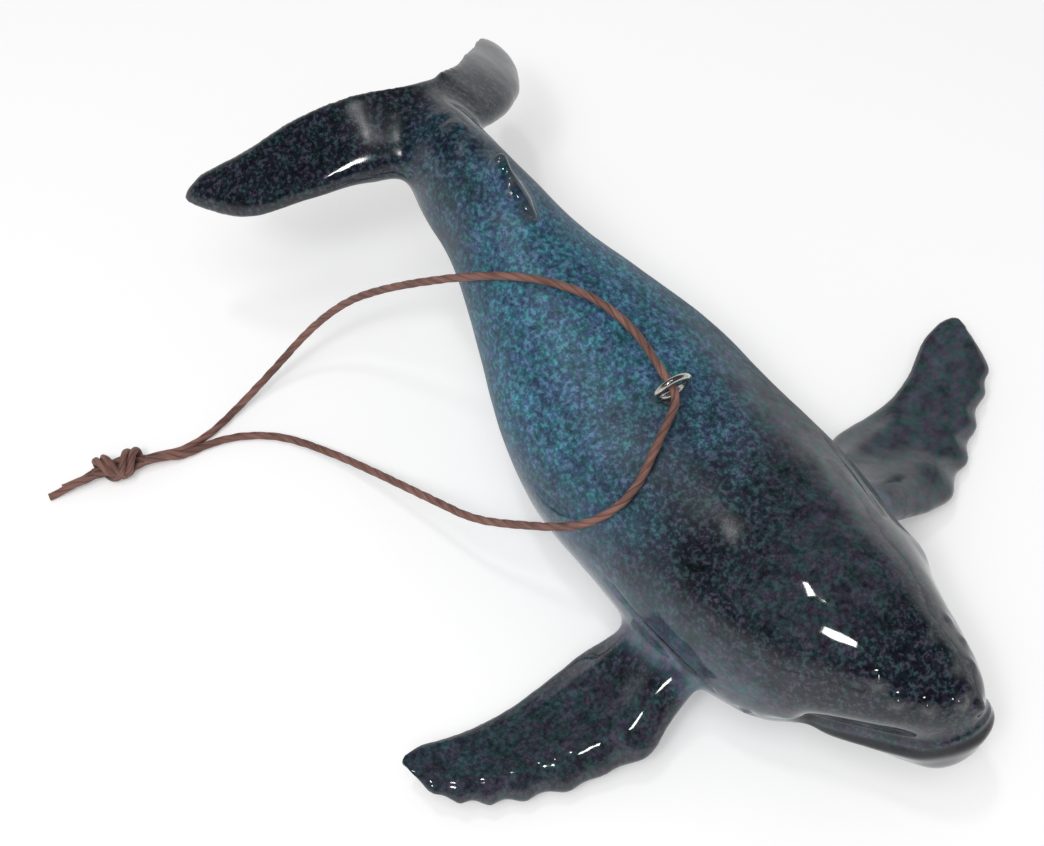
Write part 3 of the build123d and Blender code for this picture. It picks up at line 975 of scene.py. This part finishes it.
def largest_patch(work, label, layer):
    """Gives all but the largest patch of a limb's faces back to the body."""
    unseen = {face for face in work.faces if face[layer] == label}
    patches = []
    while unseen:
        todo = [unseen.pop()]
        patch = set(todo)
        while todo:
            for edge in todo.pop().edges:
                for near in edge.link_faces:
                    if near in unseen:
                        unseen.discard(near)
                        patch.add(near)
                        todo.append(near)
        patches.append(patch)
    for patch in sorted(patches, key=len)[:-1]:
        for face in patch:
            face[layer] = 0


def parted(master, labels, normals, marks):
    """The master mesh cut into closed pieces along its labels, each with the master's shading."""
    work = bmesh.new()
    work.from_mesh(master)
    layer = work.faces.layers.int.new("label")
    source = work.verts.layers.int.new("source")
    for face, label in zip(work.faces, labels):
        face[layer] = int(label)
    for vert in work.verts:
        vert[source] = vert.index
    for label in range(1, len(PORCELAIN)):
        largest_patch(work, label, layer)
    made = []
    for label, name in enumerate(PORCELAIN):
        piece = work.copy()
        own = piece.faces.layers.int["label"]
        origin = piece.verts.layers.int["source"]
        outside = [face for face in piece.faces if face[own] != label]
        bmesh.ops.delete(piece, geom=outside, context="FACES")
        rim = [edge for edge in piece.edges if edge.is_boundary]
        filled = bmesh.ops.holes_fill(piece, edges=rim, sides=0)["faces"]
        for face in bmesh.ops.poke(piece, faces=filled)["faces"]:
            face[own] = CAP
        bmesh.ops.recalc_face_normals(piece, faces=piece.faces)
        mesh = bpy.data.meshes.new(name)
        piece.to_mesh(mesh)
        sources = [vert[origin] for vert in piece.verts]
        kept = [face[own] != CAP for face in piece.faces]
        piece.free()
        shade = []
        for polygon in mesh.polygons:
            polygon.use_smooth = True
            for vertex in polygon.vertices:
                own_skin = kept[polygon.index]
                shade.append(tuple(normals[sources[vertex]] if own_skin else polygon.normal))
        mesh.normals_split_custom_set(shade)
        for mark, values in marks.items():
            layer_of = mesh.attributes.new(mark, "FLOAT", "POINT")
            layer_of.data.foreach_set("value", values[sources].astype(np.float32))
        made.append((name, mesh))
    work.free()
    return made


class WHALE_OT_porcelain(bpy.types.Operator):
    """Casts the whale in one mesh, carves its features and parts it into its five pieces"""
    bl_idname = "whale.porcelain"
    bl_label = "Porcelain whale"

    def execute(self, context):
        sizes = context.scene.whale_glaze
        body, keel, *limbs = map(closed_form, (
            body_rings(), keel_rings(), flipper_rings(1), flipper_rings(-1), fluke_rings(),
            fin_rings()))
        jawed(body)
        master = cast_in_one([body, keel, *limbs], sizes.voxel)
        points = read_points(master)
        edges = read(master.edges, "vertices", 2, np.int32)
        to_body = np.minimum(gaps_to(body, points), gaps_to(keel, points))
        points = relaxed(points, edges, np.ones(len(points)), EVEN_ROUNDS)
        for limb, (reach, rounds) in zip(limbs, FILLETS):
            gap = np.maximum(gaps_to(limb, points), to_body)
            near = ease(reach, reach / 5, gap)
            close = np.flatnonzero(near > 0)
            own = edges[(near[edges] > 0).any(1)]
            held, inverse = np.unique(np.append(own.ravel(), close), return_inverse=True)
            pairs = inverse[:own.size].reshape(-1, 2)
            points[held] = relaxed(points[held], pairs, near[held], rounds, PLAIN_PULL)
        settle(master, points)
        labels = label_faces(master, [body, *limbs, keel])
        normals = read_normals(master)
        push = carved(points) + uneven(points) + dimple(points)
        points = points + normals * push[:, None]
        points = relaxed(points, edges, np.ones(len(points)), SKIN_ROUNDS)
        low, high = (np.array(corner) / MM for corner in cad_box)
        points = np.clip(points, low + BOX_MARGIN, high - BOX_MARGIN)
        points[:, 2] = np.maximum(points[:, 2], 0)
        settle(master, points * MM)
        normals = read_normals(master)
        glaze = new_material("speckled_glaze", glaze_nodes(sizes), IOR=1.5)
        for name, mesh in parted(master, labels, normals, flow(points, normals, edges)):
            coat(mesh, glaze)
            piece = plain_object(f"glazed_{name}", mesh)
            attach(piece, "porcelain")
            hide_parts(name)
        return {"FINISHED"}


class WHALE_OT_eye(bpy.types.Operator):
    """Gives the wire eye and its cement plug their finishes"""
    bl_idname = "whale.eye"
    bl_label = "Wire eye"

    def execute(self, context):
        nodes = frame["nodes"]
        coat(nodes["hanger_eye"].data, new_material("nickel_wire", metal_nodes, Metallic=1.0))
        coat(nodes["eye_cement"].data, new_material("set_cement", cement_nodes))
        return {"FINISHED"}


# Share of the cord's thickness that the twisted form takes up, so that it stays in its solid
STRAND_SHARE = 0.96
# Sides of the cord's section, and its radius in the grooves and how much more on the plies
CORD_SIDES = 24
GROOVE_RADIUS = 0.84
PLY_RISE = 0.14
TWIST_INPUTS = (
    ("Radius", "NodeSocketFloat", 0.00055), ("Pitch", "NodeSocketFloat", 0.0072),
    ("Plies", "NodeSocketInt", 3), ("Step", "NodeSocketFloat", 0.00016),
)


def twist_tree(material):
    """Geometry Nodes group that lays a twisted, lobed cord along a curve."""
    tree = bpy.data.node_groups.new("Twisted cord", "GeometryNodeTree")
    tree.interface.new_socket("Path", in_out="INPUT", socket_type="NodeSocketGeometry")
    names = {}
    for name, kind, value in TWIST_INPUTS:
        socket = tree.interface.new_socket(name, in_out="INPUT", socket_type=kind)
        socket.default_value = value
        names[name] = socket.identifier
    tree.interface.new_socket("Cord", in_out="OUTPUT", socket_type="NodeSocketGeometry")
    make = Maker(tree)

    def store(form, name, value, kind="FLOAT"):
        inputs = {"Geometry": form, "Name": name, "Value": value}
        return make.add("GeometryNodeStoreNamedAttribute", inputs, data_type=kind, domain="POINT")

    def scaled(vector, factor):
        return make.add("ShaderNodeVectorMath", {0: vector, "Scale": factor}, operation="SCALE")

    entry = tree.nodes.new("NodeGroupInput")
    given = {socket.name: Sock(make, socket) for socket in entry.outputs if socket.name}
    path = make.add("GeometryNodeResampleCurve", {"Curve": given["Path"], "Length": given["Step"]},
                    mode="LENGTH")
    along = make.add("GeometryNodeSplineParameter", None, "Length")
    tilt = along / given["Pitch"] * (2 * math.pi)
    path = make.add("GeometryNodeSetCurveTilt", {"Curve": path, "Tilt": tilt})
    path = store(path, "along", along)
    circle = make.add("GeometryNodeCurvePrimitiveCircle", {"Resolution": CORD_SIDES, "Radius": 1.0},
                      mode="RADIUS")
    spot = make.add("GeometryNodeInputPosition")
    side, up, _ = make.parts(spot)
    angle = make.add("ShaderNodeMath", {0: up, 1: side}, operation="ARCTAN2")
    wave = make.add("ShaderNodeMath", {0: angle * given["Plies"] * 0.5}, operation="SINE")
    lobe = wave.absolute() ** 0.7
    circle = store(store(circle, "ply", lobe), "around", spot, "FLOAT_VECTOR")
    reach = given["Radius"] * (GROOVE_RADIUS + PLY_RISE * lobe)
    circle = make.add("GeometryNodeSetPosition",
                      {"Geometry": circle, "Position": scaled(spot, reach)})
    tube = make.add("GeometryNodeCurveToMesh",
                    {"Curve": path, "Profile Curve": circle, "Fill Caps": True})
    lump = (make.noise(spot, 700.0, 2.0, 0.6, 1.0) - 0.5) * given["Radius"] * 0.22
    swell = scaled(make.add("GeometryNodeInputNormal"), lump)
    tube = make.add("GeometryNodeSetPosition", {"Geometry": tube, "Offset": swell})
    tube = make.add("GeometryNodeSetShadeSmooth", {0: tube})
    tube = make.add("GeometryNodeRealizeInstances", {0: tube})
    tube = make.add("GeometryNodeSetMaterial", {"Geometry": tube, "Material": material})
    make.end("NodeGroupOutput", tube)
    return tree, names


def path_curve(name, points):
    """NURBS curve in metres through control points in millimetres."""
    data = bpy.data.curves.new(name, "CURVE")
    data.dimensions = "3D"
    data.resolution_u = 12
    spline = data.splines.new("NURBS")
    spline.points.add(len(points) - 1)
    for spot, point in zip(spline.points, points):
        spot.co = (*(np.array(point) * MM), 1)
    spline.order_u = 3
    spline.use_endpoint_u = True
    return plain_object(name, data)


def twisted(name, points, tree, names, sizes):
    """Cord piece along control points, as a plain mesh, and the line it follows."""
    curve = path_curve(name + "_path", points)
    bare = bpy.data.meshes.new_from_object(curve)
    line = read_points(bare)
    bpy.data.meshes.remove(bare)
    modifier = curve.modifiers.new("twist", "NODES")
    modifier.node_group = tree
    modifier[names["Radius"]] = sizes.diameter / 2 * STRAND_SHARE
    modifier[names["Pitch"]] = sizes.pitch
    modifier[names["Plies"]] = sizes.plies
    bpy.context.view_layer.update()
    mesh = baked(curve)
    mesh.name = name
    data = curve.data
    bpy.data.objects.remove(curve)
    bpy.data.curves.remove(data)
    return plain_object(name, welded(mesh, CORD_WELD)), line


UP_WAY = np.array([0.0, 0.0, 1.0])
HEAD_WAY = np.array([math.cos(KNOT_HEADING), math.sin(KNOT_HEADING), 0.0])
SIDE_WAY = np.cross(UP_WAY, HEAD_WAY)


def knot_spot(forward, sideways, up):
    return KNOT_CENTRE + HEAD_WAY * forward + SIDE_WAY * sideways + UP_WAY * up


def knot_port(end, side, run):
    return knot_spot(end * (KNOT_FACE + run), side * ENTRY_SPREAD,
                     side * ENTRY_STACK - ENTRY_DROP)


# The doubled cord's way through the overhand knot: forward, sideways and up in millimetres, with
# the slant of the two strands' common plane and half their distance
KNOT_ENTRY = [(-2.5, 0, -0.5, 0, 0.5), (-1.3, 0.2, -0.6, 20, 0.5)]
KNOT_WRAPS = [
    (-25, -0.3, 1.3, 60), (30, 0.9, 1.6, 85), (85, 1.7, 1.72, 92), (140, 2.3, 1.6, 95),
    (195, 2.4, 1.5, 95), (250, 1.7, 1.6, 90), (305, 0.7, 1.62, 90), (360, -0.3, 1.6, 90),
    (415, -1.0, 1.75, 90), (470, -1.6, 1.7, 88), (525, -2.1, 1.5, 85), (575, -2.3, 1.3, 70),
]
KNOT_EXIT = [(-1.5, -0.5, -0.4, 40, 0.5), (0.2, -0.2, -0.2, 10, 0.5), (2.3, 0, -0.4, 0, 0.48)]
# The wraps: turn in degrees, forward, radius and slant, round a middle that lies a little low
WRAP_DROP = 0.25
WRAP_HALF = 0.54
# The cut tails: way out of the knot, its bend, and each tail's strand, node and spots
TAIL_BEND = math.radians(7.0)
TAILS = (
    ("long_tail", 1, "cord_long_tail",
     ((1.2, 0.0, 1.65), (2.6, -0.05, 1.6), (4.4, -0.1, 1.2), (5.4, -0.15, 0.65),
      (6.6, -0.2, 0.56))),
    ("short_tail", -1, "cord_short_tail",
     ((1.2, 0.0, 0.95), (2.4, 0.05, 0.56), (4.7, 0.05, 0.56))),
)
LEGS = (
    ("aft_leg", AFT_ROUTE, -1, AFT_RUN, "cord_aft_leg"),
    ("fore_leg", FORE_ROUTE, 1, FORE_RUN, "cord_fore_leg"),
)


def knot_strand(side):
    """Control points of one of the two strands in the knot."""
    rows = list(KNOT_ENTRY)
    for angle, forward, radius, slant in KNOT_WRAPS:
        around = math.radians(angle)
        rows.append((forward, radius * math.cos(around), radius * math.sin(around) - WRAP_DROP,
                     slant, WRAP_HALF))
    rows += KNOT_EXIT
    yield knot_port(-1, side, OVERLAP)
    for forward, sideways, up, slant, half in rows:
        lean = math.radians(slant)
        yield knot_spot(forward - side * half * math.sin(lean),
                        sideways + side * half * math.cos(lean), up)
    yield knot_port(1, side, OVERLAP)


class WHALE_OT_cord(bpy.types.Operator):
    """Lays the waxed cord through the wire eye, ties its knot and leaves two cut tails"""
    bl_idname = "whale.cord"
    bl_label = "Hanging cord"

    def execute(self, context):
        sizes = context.scene.whale_cord
        waxed = new_material("waxed_cotton", cord_nodes)
        tree, names = twist_tree(waxed)
        strands = [
            twisted(name, list(knot_strand(side)), tree, names, sizes)[0]
            for name, side in (("knot_left_strand", 1), ("knot_right_strand", -1))
        ]
        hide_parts("cord_knot")
        tails = []
        course = HEAD_WAY * math.cos(TAIL_BEND) + SIDE_WAY * math.sin(TAIL_BEND)
        for name, side, node, way in TAILS:
            start = knot_port(1, side, 0)
            spots = [start]
            for out, inward, height in way:
                spot = start + course * out + SIDE_WAY * inward
                spot[2] = height
                spots.append(spot)
            tail, _ = twisted(name, spots, tree, names, sizes)
            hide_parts(node)
            tails.append(tail)
        extras = strands + tails
        for piece in extras:
            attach(piece, "cord")
        for name, route, side, run, node in LEGS:
            first = RING_CENTRE + RING_WAY * side * run
            last = [knot_port(-1, side, ENTRY_RUN), knot_port(-1, side, 0)]
            leg, line = twisted(name, [RING_CENTRE, first, *route, *last], tree, names, sizes)
            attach(leg, "cord")
            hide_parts(node)
        return {"FINISHED"}


def shown_rays(make):
    """One for rays that the camera sees straight, and one for those in gloss or through glass."""
    straight, gloss, through = (make.add("ShaderNodeLightPath", None, f"Is {name} Ray")
                                for name in ("Camera", "Glossy", "Transmission"))
    return straight, (gloss + through).clamp()


FLOOR_GLOW = 0.26
FLOOR_REACH = 3.0
FLOOR_DROP = 0.00005
SKY_LEVEL = 0.38
CEILING_LEVEL = 0.06
WHITE = (1, 1, 1, 1)
CAMERA_TARGET = Vector((-4.387, -13.461, 24.437)) * MM
SENSOR_WIDTH = 36
# Lamps: place in metres, width, height, watts and whether they show in gloss
LAMPS = (
    ("key", (0.15, -0.25, 0.60), 0.35, 0.35, 1.9, False),
    ("pane_high", (-0.050, -0.072, 0.542), 0.060, 0.030, 0.26, True),
    ("pane_low", (0.112, -0.268, 0.467), 0.060, 0.070, 0.46, True),
)


def floor_material():
    """Pale floor that shows white to the camera and in gloss, and still takes the shadow."""
    material = bpy.data.materials.new("pale_floor")
    make = with_nodes(material)
    straight, other = shown_rays(make)
    diffuse = make.add("ShaderNodeBsdfDiffuse", {"Color": (0.8, 0.8, 0.8, 1)})
    strength = (straight + other).clamp() * FLOOR_GLOW
    glow = make.add("ShaderNodeEmission", {"Color": WHITE, "Strength": strength})
    make.end("ShaderNodeOutputMaterial", make.add("ShaderNodeAddShader", {0: diffuse, 1: glow}))
    return material


def studio_world():
    """Even light, with walls that are bright and a ceiling that is dark in the glaze."""
    world = bpy.data.worlds.new("studio")
    make = with_nodes(world)
    straight, other = shown_rays(make)
    height = make.parts(make.add("ShaderNodeTexCoord", None, "Generated"))[2]
    wall = make.smooth(height, 0.5, 0.06)
    gloss = (CEILING_LEVEL + (1 - CEILING_LEVEL) * wall) * other
    strength = straight + gloss + (1 - (straight + other).clamp()) * SKY_LEVEL
    light = make.add("ShaderNodeBackground", {"Color": WHITE, "Strength": strength})
    make.end("ShaderNodeOutputWorld", light)
    return world


def placed(name, data, place, way):
    """Lamp or camera at a place, looking along a way."""
    made = plain_object(name, data)
    made.location = place
    made.rotation_euler = way.to_track_quat("-Z", "Y").to_euler()
    return made


class WHALE_OT_stage(bpy.types.Operator):
    """Sets the floor, the soft lamps and the camera at the photograph's angle"""
    bl_idname = "whale.stage"
    bl_label = "Stage, lamps and camera"

    def execute(self, context):
        sizes = context.scene.whale_stage
        mesh = bpy.data.meshes.new("floor")
        corners = [(x * FLOOR_REACH, y * FLOOR_REACH, -FLOOR_DROP)
                   for x, y in ((-1, -1), (1, -1), (1, 1), (-1, 1))]
        mesh.from_pydata(corners, [], [(0, 1, 2, 3)])
        mesh.materials.append(floor_material())
        floor = plain_object("floor", mesh)
        context.scene.world = studio_world()
        for name, place, wide, tall, power, shown in LAMPS:
            light = bpy.data.lights.new(name, "AREA")
            light.shape = "RECTANGLE"
            light.size, light.size_y = wide, tall
            light.energy = power
            placed(name, light, place, -Vector(place)).visible_glossy = shown
        a, e = sizes.azimuth, sizes.elevation
        back = Vector((math.sin(a) * math.cos(e), -math.cos(a) * math.cos(e), math.sin(e)))
        view = bpy.data.cameras.new("camera")
        view.sensor_width = SENSOR_WIDTH
        view.lens = sizes.lens
        view.clip_start = 0.01
        spot = CAMERA_TARGET + back * sizes.distance
        context.scene.camera = placed("camera", view, spot, -back)
        context.scene.view_settings.view_transform = "Standard"
        return {"FINISHED"}


class WHALE_PT_panel(bpy.types.Panel):
    bl_label = "Porcelain whale"
    bl_idname = "WHALE_PT_panel"
    bl_space_type = "VIEW_3D"
    bl_region_type = "UI"
    bl_category = "Whale"

    def draw(self, context):
        for place, kind in GROUPS.items():
            for name in kind.__annotations__:
                self.layout.prop(getattr(context.scene, place), name)
        for operator in OPERATORS:
            self.layout.operator(operator.bl_idname)


OPERATORS = (WHALE_OT_porcelain, WHALE_OT_eye, WHALE_OT_cord, WHALE_OT_stage)
GROUPS = {"whale_glaze": GlazeSizes, "whale_cord": CordSizes, "whale_stage": StageSizes}


def register():
    for group in GROUPS.values():
        bpy.utils.register_class(group)
    for operator in (*OPERATORS, WHALE_PT_panel):
        bpy.utils.register_class(operator)
    for name, group in GROUPS.items():
        setattr(bpy.types.Scene, name, bpy.props.PointerProperty(type=group))


def unregister():
    for name in GROUPS:
        delattr(bpy.types.Scene, name)
    for operator in reversed((*OPERATORS, WHALE_PT_panel)):
        bpy.utils.unregister_class(operator)
    for group in reversed(GROUPS.values()):
        bpy.utils.unregister_class(group)


def main():
    register()
    bpy.ops.whale.stage()
    bpy.ops.whale.cord()
    bpy.ops.whale.eye()
    bpy.ops.whale.porcelain()


if __name__ == "__main__":
    main()
